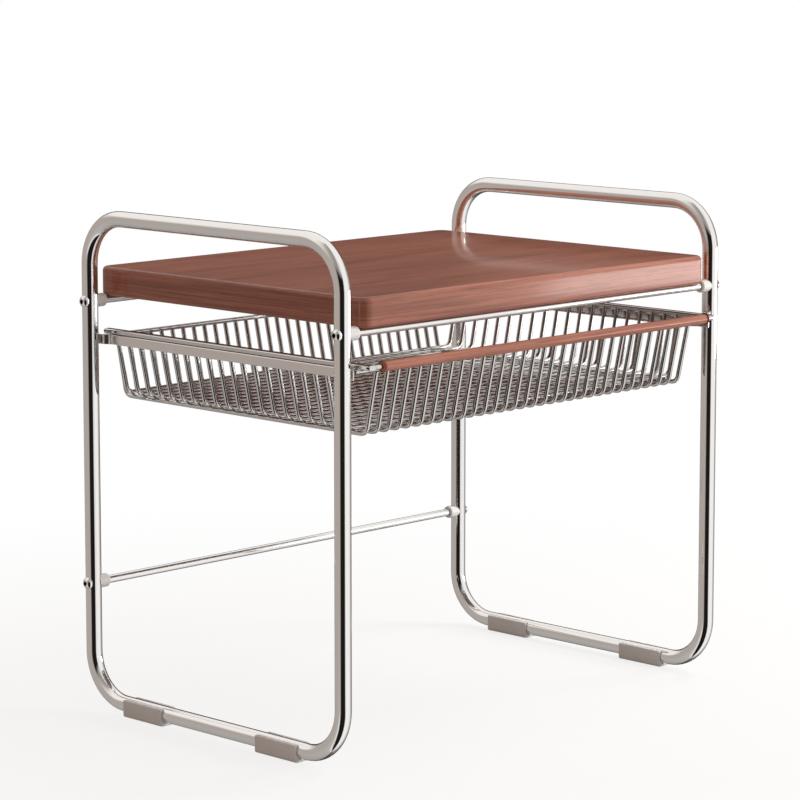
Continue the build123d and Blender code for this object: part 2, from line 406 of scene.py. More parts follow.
class Solid:
    """Collects closed shells into one mesh."""

    MERGE: ClassVar[float] = 1e-7

    def __init__(self) -> None:
        """Starts with nothing in it."""
        self.points: list[Point] = []
        self.faces: list[tuple[int, ...]] = []

    def rings(self, rings: Sequence[Sequence[Point]]) -> None:
        """Adds a shell that joins rings of equal count, capped at both ends.

        Args:
            rings: The rings, in order, all wound the same way.
        """
        base, count, total = len(self.points), len(rings[0]), len(rings)
        self.points.extend(point for ring in rings for point in ring)
        for row in range(total - 1):
            here, above = base + row * count, base + (row + 1) * count
            for column in range(count):
                after = (column + 1) % count
                self.faces.append((here + column, here + after, above + after, above + column))
        self.faces.append(tuple(base + column for column in reversed(range(count))))
        self.faces.append(tuple(base + (total - 1) * count + column for column in range(count)))

    def mesh(self, name: str) -> bpy.types.Mesh:
        """Makes the mesh, smooth and with its faces outwards.

        Args:
            name: The mesh's name.

        Returns:
            The mesh.
        """
        mesh = bpy.data.meshes.new(name)
        mesh.from_pydata(self.points, [], self.faces)
        mesh.validate()
        shells = bmesh.new()
        shells.from_mesh(mesh)
        bmesh.ops.remove_doubles(shells, verts=shells.verts, dist=self.MERGE)
        bmesh.ops.recalc_face_normals(shells, faces=shells.faces)
        shells.to_mesh(mesh)
        shells.free()
        mesh.shade_smooth()
        return mesh


def arc(centre: Flat, radius: float, start: float, stop: float, steps: int) -> list[Flat]:
    """Points on an arc.

    Args:
        centre: The arc's centre.
        radius: Its radius.
        start: The first point's angle in degrees.
        stop: The last point's angle in degrees.
        steps: Segments between them.

    Returns:
        The points.
    """
    angles = [math.radians(start + (stop - start) * step / steps) for step in range(steps + 1)]
    return [(centre[0] + radius * math.cos(angle), centre[1] + radius * math.sin(angle)) for angle in angles]


def rounded_outline(half_width: float, half_height: float, radius: float, steps: int) -> list[Flat]:
    """A rectangle's outline with round corners.

    Args:
        half_width: Half its size along the first axis.
        half_height: Half its size along the second axis.
        radius: The corners' radius.
        steps: Segments in each corner.

    Returns:
        The points, anticlockwise.
    """
    outline = []
    for corner, (across, up) in enumerate(((1, 1), (-1, 1), (-1, -1), (1, -1))):
        centre = (across * (half_width - radius), up * (half_height - radius))
        outline += arc(centre, radius, 90 * corner, 90 * corner + 90, steps)
    return outline


def turned(solid: Solid, profile: Sequence[Flat], centre: Flat, segments: int,
           end: Callable[[float, float], float] | None = None) -> None:
    """Adds a turned shell round an axis along X.

    Args:
        solid: The solid that takes the shell.
        profile: Places along X and their radii, from one end to the other.
        centre: The axis's Y and Z.
        segments: Segments round the axis.
        end: Gives X from Y and Z, relative to the axis, for the first ring's points.
    """
    rings = []
    for row, (along, radius) in enumerate(profile):
        circle = arc((0.0, 0.0), radius, 0, 360, segments)[:-1]
        rings.append([(end(y, z) if end and row == 0 else along, centre[0] + y, centre[1] + z)
                      for y, z in circle])
    solid.rings(rings)


def mark_grain(mesh: bpy.types.Mesh, rule: Callable[[Vector, Vector], Point]) -> None:
    """Stores where the wood's grain runs, for the wooden finishes.

    Args:
        mesh: The mesh to mark.
        rule: Gives the grain's coordinates from a corner's point and its face's normal.
    """
    grain = mesh.attributes.new(GRAIN, "FLOAT_VECTOR", "CORNER")
    for face in mesh.polygons:
        for loop in face.loop_indices:
            grain.data[loop].vector = rule(mesh.vertices[mesh.loops[loop].vertex_index].co, face.normal)


def modified(mesh: bpy.types.Mesh, kind: str, set_up: Callable[[bpy.types.Modifier], None]) -> bpy.types.Mesh:
    """Runs one modifier on a mesh.

    Args:
        mesh: The mesh that goes in.
        kind: The modifier's type.
        set_up: Sets the modifier's values.

    Returns:
        The plain mesh that comes out.
    """
    holder = bpy.data.objects.new("holder", mesh)
    bpy.context.scene.collection.objects.link(holder)
    set_up(holder.modifiers.new("shape", kind))
    holder.update_tag()
    bpy.context.view_layer.update()
    ready = holder.evaluated_get(bpy.context.evaluated_depsgraph_get())
    result = bpy.data.meshes.new_from_object(ready)
    holder.modifiers.clear()
    bpy.data.objects.remove(holder)
    return result


def bevelled(mesh: bpy.types.Mesh, width: float, segments: int) -> bpy.types.Mesh:
    """Rounds a mesh's sharp edges.

    Args:
        mesh: The mesh.
        width: The bevel's width.
        segments: The bevel's segments.

    Returns:
        The rounded mesh.
    """
    def set_up(bevel: bpy.types.Modifier) -> None:
        """Sets the bevel's size and the edges that it rounds."""
        bevel.width, bevel.segments = width, segments
        bevel.limit_method, bevel.angle_limit = "ANGLE", math.radians(BEVEL_DEGREES)

    return modified(mesh, "BEVEL", set_up)


# ------------------------------------------------------------------------------ geometry nodes


class Tree:
    """A Geometry Nodes tree that turns a mesh of points or lines into pieces of the stand."""

    NAME: ClassVar[str]
    SOURCE: ClassVar[str]
    SIZES: ClassVar[tuple[tuple[str, str], ...]]

    def __init__(self) -> None:
        """Finds the tree, or builds it once."""
        self.tree = bpy.data.node_groups.get(self.NAME) or self.build()

    def build(self) -> bpy.types.NodeTree:
        """Builds the tree, with a named input for each size.

        Returns:
            The geometry node tree.
        """
        tree = bpy.data.node_groups.new(self.NAME, "GeometryNodeTree")
        for name, kind in ((self.SOURCE, "Geometry"), *self.SIZES, ("Finish", "Material")):
            tree.interface.new_socket(name, in_out="INPUT", socket_type="NodeSocket" + kind)
        tree.interface.new_socket("Mesh", in_out="OUTPUT", socket_type="NodeSocketGeometry")
        nodes = Nodes(tree)
        given = nodes.add("NodeGroupInput").outputs
        smooth = nodes.out("GeometryNodeSetShadeSmooth", {"Geometry": self.copies(nodes, given)})
        real = nodes.out("GeometryNodeRealizeInstances", {0: smooth})
        dressed = nodes.out("GeometryNodeSetMaterial", {"Geometry": real, "Material": given["Finish"]})
        nodes.add("NodeGroupOutput", {0: dressed})
        return tree

    def copies(self, nodes: Nodes, given: bpy.types.NodeOutputs) -> Socket:
        """Gives the instances; each kind of tree has its own."""
        raise NotImplementedError

    def run(self, source: bpy.types.Mesh, values: dict[str, Setting]) -> bpy.types.Mesh:
        """Runs the tree on a mesh.

        Args:
            source: The mesh that goes in.
            values: The tree's named inputs.

        Returns:
            The plain mesh that comes out.
        """
        def set_up(modifier: bpy.types.Modifier) -> None:
            """Sets the tree's inputs by their sockets."""
            modifier.node_group = self.tree
            for socket in self.tree.interface.items_tree:
                if socket.in_out == "INPUT" and socket.name in values:
                    modifier[socket.identifier] = values[socket.name]

        return modified(source, "NODES", set_up)


class PathTree(Tree):
    """Sweeps a round section along a filleted path and repeats it in a row."""

    NAME = "round_section_on_path"
    SOURCE = "Path"
    SIZES = (("Section radius", "Float"), ("Section sides", "Int"), ("Bend radius", "Float"),
             ("Bend steps", "Int"), ("Ring spacing", "Float"), ("Copies", "Int"), ("Step", "Vector"))

    def copies(self, nodes: Nodes, given: bpy.types.NodeOutputs) -> Socket:
        """Sweeps the bar and repeats it.

        Args:
            nodes: The node builder.
            given: The tree's inputs.

        Returns:
            The row's socket.
        """
        curve = nodes.out("GeometryNodeMeshToCurve", {0: given["Path"]})
        bent = nodes.out("GeometryNodeFilletCurve", {"Curve": curve, "Radius": given["Bend radius"],
                                                     "Count": given["Bend steps"]}, mode="POLY")
        spaced = nodes.out("GeometryNodeResampleCurve", {"Curve": bent, "Length": given["Ring spacing"]},
                           mode="LENGTH")
        dense = nodes.out("FunctionNodeCompare", {0: given["Ring spacing"], 1: HAIR},
                          operation="GREATER_THAN")
        line = nodes.out("GeometryNodeSwitch", {"Switch": dense, "False": bent, "True": spaced},
                         input_type="GEOMETRY")
        ring = nodes.out("GeometryNodeCurvePrimitiveCircle", {"Resolution": given["Section sides"],
                                                              "Radius": given["Section radius"]})
        bar = nodes.out("GeometryNodeCurveToMesh", {"Curve": line, "Profile Curve": ring, "Fill Caps": True})
        row = nodes.out("GeometryNodeMeshLine", {"Count": given["Copies"], "Offset": given["Step"]},
                        mode="OFFSET")
        return nodes.out("GeometryNodeInstanceOnPoints", {"Points": row, "Instance": bar})

    def sweep(self, name: str, path: Sequence[Point], finish: Finish, radius: float, sides: int,
              closed: bool = False, bend: float = 0.0, steps: int = 1, spacing: float = 0.0, copies: int = 1,
              step: Point = (0.0, 0.0, 0.0)) -> bpy.types.Mesh:
        """Sweeps and repeats one path.

        Args:
            name: The mesh's name.
            path: The path's corners.
            finish: The finish set in the tree.
            radius: The round section's radius.
            sides: The section's sides.
            closed: Whether the path returns to its start.
            bend: The bends' radius.
            steps: Segments in each bend.
            spacing: Distance between rings, or 0 for rings only at the bends.
            copies: How many bars stand in the row.
            step: From one bar to the next.

        Returns:
            The plain mesh.
        """
        last = len(path) - 1
        edges = [(index, index + 1) for index in range(last)] + ([(last, 0)] if closed else [])
        line = bpy.data.meshes.new(name + "_path")
        line.from_pydata(path, edges, [])
        return self.run(line, {"Section radius": radius, "Section sides": sides, "Bend radius": bend,
                               "Bend steps": steps, "Ring spacing": spacing, "Copies": copies, "Step": step,
                               "Finish": finish.material})


class ScrewTree(Tree):
    """Sets button-head screws on points, each with a hexagon socket."""

    NAME = "button_screws"
    SOURCE = "Places"
    SIZES = (("Head radius", "Float"), ("Head height", "Float"), ("Socket radius", "Float"),
             ("Socket depth", "Float"), ("Shank radius", "Float"), ("Shank length", "Float"))
    DOME_SEGMENTS: ClassVar[int] = 48
    DOME_RINGS: ClassVar[int] = 24
    SHANK_SIDES: ClassVar[int] = 24

    def copies(self, nodes: Nodes, given: bpy.types.NodeOutputs) -> Socket:
        """Cuts a dome by a slab below and a hexagon above, adds the shank, and sets it on every point.

        Args:
            nodes: The node builder.
            given: The tree's inputs.

        Returns:
            The screws' socket.
        """
        wide, high = given["Head radius"], given["Head height"]
        ball = nodes.out("GeometryNodeMeshUVSphere", {"Segments": self.DOME_SEGMENTS,
                                                      "Rings": self.DOME_RINGS, "Radius": 1.0})
        scale = nodes.out("ShaderNodeCombineXYZ", {0: wide, 1: wide, 2: high})
        dome = nodes.out("GeometryNodeTransform", {"Geometry": ball, "Scale": scale})
        edge, depth = nodes.math("MULTIPLY", wide, 3.0), nodes.math("MULTIPLY", given["Socket depth"], 2.0)
        block = nodes.out("ShaderNodeCombineXYZ", {0: edge, 1: edge, 2: edge})
        slab = nodes.out("GeometryNodeMeshCube", {"Size": block})
        under = self.moved(nodes, slab, nodes.math("MULTIPLY", edge, -0.5))
        well = nodes.out("GeometryNodeMeshCylinder", {"Vertices": 6, "Radius": given["Socket radius"],
                                                      "Depth": depth})
        # marks the socket's faces, where the plating's painted shade goes
        marked = nodes.out("GeometryNodeStoreNamedAttribute",
                           {"Geometry": well, "Name": RECESS, "Value": 1.0}, data_type="FLOAT", domain="FACE")
        cutters = nodes.join(under, self.moved(nodes, marked, high))
        head = nodes.out("GeometryNodeMeshBoolean", {"Mesh 1": dome, "Mesh 2": cutters},
                         operation="DIFFERENCE")
        shank = nodes.out("GeometryNodeMeshCylinder", {"Vertices": self.SHANK_SIDES,
                                                       "Radius": given["Shank radius"],
                                                       "Depth": given["Shank length"]})
        stem = self.moved(nodes, shank, nodes.math("MULTIPLY", given["Shank length"], -0.499))
        normal = nodes.out("GeometryNodeInputNamedAttribute", {"Name": OUTWARDS}, data_type="FLOAT_VECTOR")
        turn = nodes.out("FunctionNodeAlignRotationToVector", {"Vector": normal}, axis="Z")
        screw = nodes.join(head, stem)
        return nodes.out("GeometryNodeInstanceOnPoints", {"Points": given["Places"], "Instance": screw,
                                                          "Rotation": turn})

    @staticmethod
    def moved(nodes: Nodes, shape: Socket, rise: Socket) -> Socket:
        """Moves a shape along its axis."""
        offset = nodes.out("ShaderNodeCombineXYZ", {2: rise})
        return nodes.out("GeometryNodeTransform", {"Geometry": shape, "Translation": offset})

    def place(self, name: str, places: Sequence[tuple[Point, Point]], finish: Finish, head: Flat,
              socket: Flat, shank: Flat) -> bpy.types.Mesh:
        """Sets screws on points.

        Args:
            name: The mesh's name.
            places: Each screw's seat and the direction its head faces.
            finish: The finish set in the tree.
            head: Radius and height of the head.
            socket: Corner radius and depth of the hexagon.
            shank: Radius and length of the shank.

        Returns:
            The plain mesh.
        """
        points = bpy.data.meshes.new(name + "_places")
        points.from_pydata([place for place, _ in places], [], [])
        outwards = points.attributes.new(OUTWARDS, "FLOAT_VECTOR", "POINT")
        for index, (_, direction) in enumerate(places):
            outwards.data[index].vector = direction
        sizes = {size: value for (size, _), value in zip(self.SIZES, (*head, *socket, *shank))}
        return self.run(points, {**sizes, "Finish": finish.material})


# ------------------------------------------------------------------------------ the stand's places


@dataclass(frozen=True)
class Box:
    """A CAD node's box at rest."""

    low: Vector
    high: Vector

    @classmethod
    def of(cls, node: str) -> "Box":
        """Reads a node's box."""
        return cls(*map(Vector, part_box(node)))

    @property
    def middle(self) -> Vector:
        """The box's middle."""
        return (self.low + self.high) / 2

    @property
    def half(self) -> Vector:
        """Half the box's size."""
        return (self.high - self.low) / 2


@dataclass(frozen=True)
class Places:
    """Where the stand's main lines are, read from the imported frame."""

    tube_radius: float
    post_x: float
    front_y: float
    back_y: float
    low_z: float
    top_z: float

    @classmethod
    def read(cls, tube_radius: float) -> "Places":
        """Reads the places from the side frames' box.

        Args:
            tube_radius: Radius of the side frames' tube.

        Returns:
            The places.
        """
        low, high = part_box("right_side_frame")
        return cls(tube_radius, high[0] - tube_radius, low[1] + tube_radius, high[1] - tube_radius,
                   low[2] + tube_radius, high[2] - tube_radius)


# ------------------------------------------------------------------------------ sub-assemblies


def straight_bar(node: str, name: str, axis: int, sides: int, body: Body, finish: Finish) -> Piece:
    """A round bar as long and as thick as a CAD node.

    Args:
        node: The CAD node that it stands for.
        name: The piece's name.
        axis: 0 for a bar along X and 1 for one along Y.
        sides: The section's sides.
        body: The body that it rides on.
        finish: Its finish.

    Returns:
        The bar.
    """
    box = Box.of(node)
    start, end = box.middle, box.middle
    start[axis], end[axis] = box.low[axis], box.high[axis]
    mesh = PathTree().sweep(name, (tuple(start), tuple(end)), finish, box.half.z, sides)
    return Piece(name, mesh, body, finish, (node,))


@dataclass
class SideFrames:
    """The two bent tube loops and their clip-on feet."""

    places: Places
    bend_radius: float = 0.048
    tube_sides: int = 48
    bend_steps: int = 24
    ring_spacing: float = 0.005
    lip_edge: float = 0.00054
    lip_slope: float = 0.000216
    groove_steps: int = 32
    foot_corner: float = 0.003
    corner_steps: int = 8
    foot_bevel: float = 0.0004

    def tube(self, side: Side) -> Piece:
        """One closed loop of tube.

        Args:
            side: Which side of the stand.

        Returns:
            The loop.
        """
        at, x = self.places, side.value * self.places.post_x
        corners = [Vector((x, y, z)) for y, z in ((at.front_y, at.low_z), (at.back_y, at.low_z),
                                                  (at.back_y, at.top_z), (at.front_y, at.top_z))]
        path = [tuple(point) for start, end in zip(corners, corners[1:] + corners[:1])
                for point in (start, (start + end) / 2)]
        name = f"{side.word}_frame_tube"
        mesh = PathTree().sweep(name, path, CHROME, at.tube_radius, self.tube_sides, closed=True,
                                bend=self.bend_radius, steps=self.bend_steps, spacing=self.ring_spacing)
        return Piece(name, mesh, Body.FRAME, CHROME, (f"{side.word}_side_frame",))

    def foot(self, node: str) -> Piece:
        """One clip-on foot: a cradle with round corners, open at the top.

        Args:
            node: The CAD node that it stands for.

        Returns:
            The foot.
        """
        box = Box.of(node)
        half, top, corner, edge = box.half.x, box.high.z, self.foot_corner, self.lip_edge
        groove = self.places.tube_radius + HAIR
        lip = math.asin((top - self.places.low_z) / groove)
        opening = groove * math.cos(lip) + self.lip_slope
        outline = arc((0.0, self.places.low_z), groove, math.degrees(lip), -180 - math.degrees(lip),
                      self.groove_steps)
        outline += [(-opening, top), (edge - half, top), (-half, top - edge)]
        outline += arc((corner - half, corner), corner, 180, 270, self.corner_steps)
        outline += arc((half - corner, corner), corner, -90, 0, self.corner_steps)
        outline += [(half, top - edge), (half - edge, top), (opening, top)]
        solid = Solid()
        solid.rings([[(box.middle.x + x, y, z) for x, z in outline] for y in (box.low.y, box.high.y)])
        return Piece(node.replace("foot", "shoe"), bevelled(solid.mesh(node), self.foot_bevel, 2), Body.FRAME,
                     PLASTIC, (node,))

    def pieces(self) -> list[Piece]:
        """Both loops and all four feet."""
        feet = [f"{end}_{side.word}_foot" for end in ("front", "rear") for side in Side]
        return [self.tube(side) for side in Side] + [self.foot(node) for node in feet]


@dataclass
class CrossRods:
    """The three round rods between the side frames, with their collars and screws."""

    places: Places
    rod_sides: int = 40
    collar_round: float = 0.0022
    collar_steps: int = 8
    collar_rim: float = 0.0006
    collar_bore: float = 0.0024
    collar_sides: int = 48
    head_radius: float = 0.006
    head_sunk: float = 0.0009
    socket: Flat = (0.0025, 0.0026)
    shank: Flat = (0.0022, 0.012)
    names: tuple[str, ...] = ("front_top_rod", "rear_top_rod", "rear_lower_rod")

    def collars(self, node: str) -> Piece:
        """The two collars of a rod: saddled to the post, with a rounded nose round the rod.

        Args:
            node: The rod's node.

        Returns:
            Both collars as one piece.
        """
        at, box = self.places, Box.of(node + "_collars")
        radius, seat, rim, bend = box.half.z, Box.of(node).half.z + HAIR, self.collar_rim, self.collar_round
        nose = min(abs(vertex.co.x) for vertex in bpy.data.objects[node + "_collars"].data.vertices)
        profile = [(0.0, radius)] + arc((nose + bend, radius - bend), bend, 90, 180, self.collar_steps)
        profile += [(nose, seat + rim), (nose + rim / 2, seat), (nose + self.collar_bore, seat)]
        solid = Solid()
        for side in Side:
            sign = side.value
            turned(solid, [(sign * x, r) for x, r in profile], box.middle.yz, self.collar_sides,
                   lambda y, z: sign * (at.post_x - math.sqrt(max(at.tube_radius ** 2 - y * y, 0.0)) + HAIR))
        return Piece(node + "_end_collars", solid.mesh(node), Body.FRAME, PLASTIC, (node + "_collars",))

    def screws(self) -> Piece:
        """All six button-head screws, one through each post.

        Returns:
            The screws as one piece.
        """
        surface = self.places.post_x + self.places.tube_radius
        height = Box.of("frame_screws").high.x - surface + self.head_sunk
        places = []
        for name in self.names:
            middle = Box.of(name).middle
            for side in Side:
                seat = side.value * (surface - self.head_sunk)
                places.append(((seat, middle.y, middle.z), (float(side.value), 0.0, 0.0)))
        mesh = ScrewTree().place("post_screws", places, CHROME, (self.head_radius, height), self.socket,
                                 self.shank)
        return Piece("post_screws", mesh, Body.FRAME, CHROME, ("frame_screws",))

    def pieces(self) -> list[Piece]:
        """Every rod, collar and screw."""
        made = [straight_bar(name, name + "_bar", 0, self.rod_sides, Body.FRAME, CHROME)
                for name in self.names]
        return made + [self.collars(name) for name in self.names] + [self.screws()]


@dataclass
class ShelfBoard:
    """The wooden board on the upper rods."""

    corner: float = 0.012
    corner_steps: int = 12
    top_edge: float = 0.0045
    bottom_edge: float = 0.003
    edge_steps: int = 8
    flat_normal: float = 0.72
    back_offset: float = 2.0

    def board(self) -> Piece:
        """The board with round corners and rounded-over edges.

        Returns:
            The board.
        """
        box = Box.of("top_board")
        middle, half, under, over = box.middle, box.half, self.bottom_edge, self.top_edge
        edge = arc((under, box.low.z + under), under, 270, 180, self.edge_steps)
        edge += arc((over, box.high.z - over), over, 180, 90, self.edge_steps)
        solid = Solid()
        solid.rings([[(middle.x + x, middle.y + y, z) for x, y in
                      rounded_outline(half.x - inset, half.y - inset, self.corner - inset, self.corner_steps)]
                     for inset, z in edge])
        mesh = solid.mesh("shelf_board")
        mark_grain(mesh, lambda point, normal: self.grain(point - middle, normal, half.x, half.y))
        return Piece("shelf_board", mesh, Body.FRAME, BOARD_WOOD, ("top_board",))

    def grain(self, point: Vector, normal: Vector, half_x: float, half_y: float) -> Point:
        """Grain coordinates: along X on top, and along the edge all the way round.

        Args:
            point: A point, from the board's middle.
            normal: The normal of its face.
            half_x: Half the board's length.
            half_y: Half its depth.

        Returns:
            The coordinate along the grain and two across it.
        """
        if abs(normal.z) > self.flat_normal:
            return (point.x, point.y, point.z)
        long, deep, quarter = half_x - self.corner, half_y - self.corner, self.corner * math.pi / 2
        past_x, past_y = abs(point.x) - long, abs(point.y) - deep
        if past_x <= 0:
            run = abs(point.x) + (0.0 if point.y < 0 else self.back_offset)
        elif past_y <= 0:
            run = long + quarter + point.y + deep
        elif point.y < 0:
            run = long + self.corner * math.atan2(past_x, past_y)
        else:
            run = long + quarter + 2 * deep + self.corner * math.atan2(past_y, past_x)
        return (math.copysign(1.0, point.x) * run, -half_y, point.z)

    def pieces(self) -> list[Piece]:
        """The board."""
        return [self.board()]


@dataclass
class Runners:
    """The folded steel strips that the drawer slides on."""

    places: Places
    sheet: float = 0.0012
    fold: float = 0.0014
    fold_steps: int = 6
    inner_fold: float = 0.0002
    inner_steps: int = 4
    joggle: float = 0.008
    joggle_steps: int = 16
    standoff: float = 0.004
    front_start: float = 0.016
    back_stop: float = 0.0165
    tab_round: float = 0.45
    tab_steps: int = 3
    edge_bevel: float = 0.00015

    def runner(self, side: Side) -> Piece:
        """One runner: a C-channel between the posts, with a stepped tab at each end.

        Args:
            side: Which side of the stand.

        Returns:
            The runner.
        """
        at, sign, box = self.places, side.value, Box.of(f"{side.word}_runner")
        inner = at.post_x - at.tube_radius
        web, lip = inner - self.standoff, min(abs(box.low.x), abs(box.high.x))
        bottom, top = box.low.z, box.high.z
        front, back = at.front_y + self.front_start, at.back_y - self.back_stop
        strip = self.channel(web, lip, bottom, top)
        solid = Solid()
        solid.rings([[(sign * x, y, z) for x, z in strip] for y in (front, back)])
        thin = self.sheet / 2
        section = rounded_outline(box.half.z, thin, self.sheet * self.tab_round, self.tab_steps)
        for start, end, tip in ((front, front - self.joggle, box.low.y),
                                (back, back + self.joggle, box.high.y)):
            solid.rings([[(sign * (x - thin + across), y, box.middle.z + up) for up, across in section]
                         for x, y in self.step_line(web, inner, start, end, tip)])
        plate = [(sign * x, z) for x, z in ((web, bottom), (web, top), (lip, top), (lip, bottom))]
        solid.rings([[(x, y, z) for x, z in plate] for y in (front, front + self.sheet)])
        mesh = bevelled(solid.mesh("runner"), self.edge_bevel, 1)
        return Piece(f"{side.word}_folded_runner", mesh, Body.FRAME, STEEL, (f"{side.word}_runner",))

    def channel(self, web: float, lip: float, bottom: float, top: float) -> list[Flat]:
        """The channel's section with its two round folds.

        Args:
            web: X of the web's outer face.
            lip: X of the lips' tips.
            bottom: Z of the lower lip's underside.
            top: Z of the upper lip's top.

        Returns:
            The outline in X and Z.
        """
        outer, inner, sheet = self.fold, self.inner_fold, self.sheet
        centre, low, high = web - sheet - inner, bottom + sheet, top - sheet
        outline = arc((web - outer, top - outer), outer, 90, 0, self.fold_steps)
        outline += arc((web - outer, bottom + outer), outer, 0, -90, self.fold_steps)
        outline += [(lip, bottom), (lip, low)] + arc((centre, low + inner), inner, -90, 0, self.inner_steps)
        outline += arc((centre, high - inner), inner, 0, 90, self.inner_steps)
        return outline + [(lip, high), (lip, top)]

    def step_line(self, web: float, inner: float, start: float, end: float, tip: float) -> list[Flat]:
        """The plan line of a stepped tab, from the channel's end to the tab's tip.

        Args:
            web: X of the web's outer face.
            inner: X of the tab's outer face.
            start: Y where the step begins.
            end: Y where the step ends.
            tip: Y of the tab's tip.

        Returns:
            Points in X and Y.
        """
        shares = [step / self.joggle_steps for step in range(self.joggle_steps + 1)]
        return [(web + (inner - web) * share * share * (3 - 2 * share), start + (end - start) * share)
                for share in shares] + [(inner, tip)]

    def pieces(self) -> list[Piece]:
        """Both runners."""
        return [self.runner(side) for side in Side]


@dataclass
class WireBasket:
    """The drawer's two layers of bent wire, its rim and its guide rods."""

    wire_radius: float = 0.0023
    wire_sides: int = 14
    bend_radius: float = 0.009
    bend_steps: int = 8
    lean: float = math.radians(12.5)
    lengthwise: int = 32
    crosswise: int = 20
    side_inset: float = 0.0018
    rail_corner: float = 0.002
    rail_steps: int = 5
    rail_wall: float = 0.001
    rail_soft: float = 0.0003
    bore_corner: float = 0.0004
    bore_depth: float = 0.02
    front_bar_corner: float = 0.0018
    back_bar_corner: float = 0.0012
    bar_steps: int = 6
    guide_sides: int = 24

    @property
    def reach(self) -> float:
        """How far the CAD model's six-sided wires reach past their middle line."""
        return self.wire_radius / math.cos(math.pi / 6)

    def row(self, node: str, path: Sequence[Point], copies: int, step: Point) -> Piece:
        """One layer of bent wires.

        Args:
            node: The CAD node that it stands for.
            path: The first wire's corners.
            copies: How many wires there are.
            step: From one wire to the next.

        Returns:
            All the wires as one piece.
        """
        mesh = PathTree().sweep("basket_" + node, path, WIRE, self.wire_radius, self.wire_sides,
                                bend=self.bend_radius, steps=self.bend_steps, copies=copies, step=step)
        return Piece("basket_" + node, mesh, Body.DRAWER, WIRE, (node,))

    def lengthwise_wires(self) -> Piece:
        """The front-to-back wires of the lower layer, bent up at both ends.

        Returns:
            All of them as one piece.
        """
        wires, front, back = Box.of("lengthwise_wires"), Box.of("drawer_front_bar"), Box.of("drawer_back_bar")
        outer, floor = wires.high.x - self.reach, wires.low.z + self.wire_radius
        foot_y = front.middle.y + (front.low.z - floor) * math.tan(self.lean)
        back_foot_y = back.middle.y - (back.low.z - floor) * math.tan(self.lean)
        path = [(-outer, front.middle.y, front.low.z), (-outer, foot_y, floor), (-outer, back_foot_y, floor),
                (-outer, back.middle.y, back.low.z)]
        step = 2 * outer / (self.lengthwise - 1)
        return self.row("lengthwise_wires", path, self.lengthwise, (step, 0.0, 0.0))

    def crosswise_wires(self) -> Piece:
        """The side-to-side wires of the upper layer, bent up at both ends.

        Returns:
            All of them as one piece.
        """
        wires = Box.of("crosswise_wires")
        first, last = wires.low.y + self.reach, wires.high.y - self.reach
        floor, top = wires.low.z + self.wire_radius, wires.high.z
        top_x = Box.of("right_drawer_rail").low.x + self.side_inset
        foot_x = top_x - (top - floor) * math.tan(self.lean)
        path = [(-top_x, first, top), (-foot_x, first, floor), (foot_x, first, floor), (top_x, first, top)]
        step = (last - first) / (self.crosswise - 1)
        return self.row("crosswise_wires", path, self.crosswise, (0.0, step, 0.0))

    def rail(self, side: Side) -> Piece:
        """One flat tube of the rim, open at its back end.

        Args:
            side: Which side of the drawer.

        Returns:
            The rail.
        """
        node, soft, wall = f"{side.word}_drawer_rail", self.rail_soft, self.rail_wall
        box = Box.of(node)
        front, back = box.low.y, box.high.y
        outer, eased, bore = (rounded_outline(box.half.x - inset, box.half.z - inset, corner, self.rail_steps)
                              for inset, corner in ((0.0, self.rail_corner), (soft, self.rail_corner - soft),
                                                    (wall, self.bore_corner)))
        rings = [(eased, front), (outer, front + soft), (outer, back - soft), (eased, back), (bore, back),
                 (bore, back - self.bore_depth)]
        solid = Solid()
        solid.rings([[(box.middle.x + x, y, box.middle.z + z) for x, z in outline] for outline, y in rings])
        return Piece(f"{side.word}_rim_rail", solid.mesh(node), Body.DRAWER, WIRE, (node,))

    def cross_bar(self, end: str, corner: float) -> Piece:
        """A flat bar of the rim with round edges.

        Args:
            end: "front" or "back".
            corner: Radius of its long edges.

        Returns:
            The bar.
        """
        node = f"drawer_{end}_bar"
        box = Box.of(node)
        outline = rounded_outline(box.half.y, box.half.z, corner, self.bar_steps)
        solid = Solid()
        solid.rings([[(x, box.middle.y + y, box.middle.z + z) for y, z in outline]
                     for x in (box.low.x, box.high.x)])
        return Piece(f"rim_{end}_bar", solid.mesh(node), Body.DRAWER, WIRE, (node,))

    def pieces(self) -> list[Piece]:
        """Every piece of the basket and its rim."""
        made = [self.lengthwise_wires(), self.crosswise_wires()] + [self.rail(side) for side in Side]
        made += [straight_bar(f"{side.word}_guide_rod", f"{side.word}_tilt_guide", 1, self.guide_sides,
                              Body.DRAWER, WIRE) for side in Side]
        made.append(self.cross_bar("front", self.front_bar_corner))
        made.append(self.cross_bar("back", self.back_bar_corner))
        return made


@dataclass
class DrawerHandle:
    """The wooden dowel and the rod that carries it."""

    edge: float = 0.0012
    edge_steps: int = 6
    bore_depth: float = 0.004
    dowel_sides: int = 64
    rod_sides: int = 32

    def dowel(self) -> Piece:
        """The turned wooden dowel with softened ends.

        Returns:
            The dowel.
        """
        box, edge = Box.of("wooden_handle"), self.edge
        radius, half, bore = box.half.z, box.half.x, Box.of("handle_rod").half.z + HAIR
        profile = [(self.bore_depth - half, bore), (-half, bore)]
        profile += arc((edge - half, radius - edge), edge, 90, 180, self.edge_steps)
        solid = Solid()
        turned(solid, profile + [(-x, r) for x, r in reversed(profile)], box.middle.yz, self.dowel_sides)
        mesh = solid.mesh("handle_dowel")
        mark_grain(mesh, lambda point, _: (point.x, point.y, point.z))
        return Piece("handle_dowel", mesh, Body.DRAWER, HANDLE_WOOD, ("wooden_handle",))

    def pieces(self) -> list[Piece]:
        """The rod and the dowel."""
        rod = straight_bar("handle_rod", "handle_carrier", 0, self.rod_sides, Body.DRAWER, WIRE)
        return [rod, self.dowel()]


# ------------------------------------------------------------------------------ studio


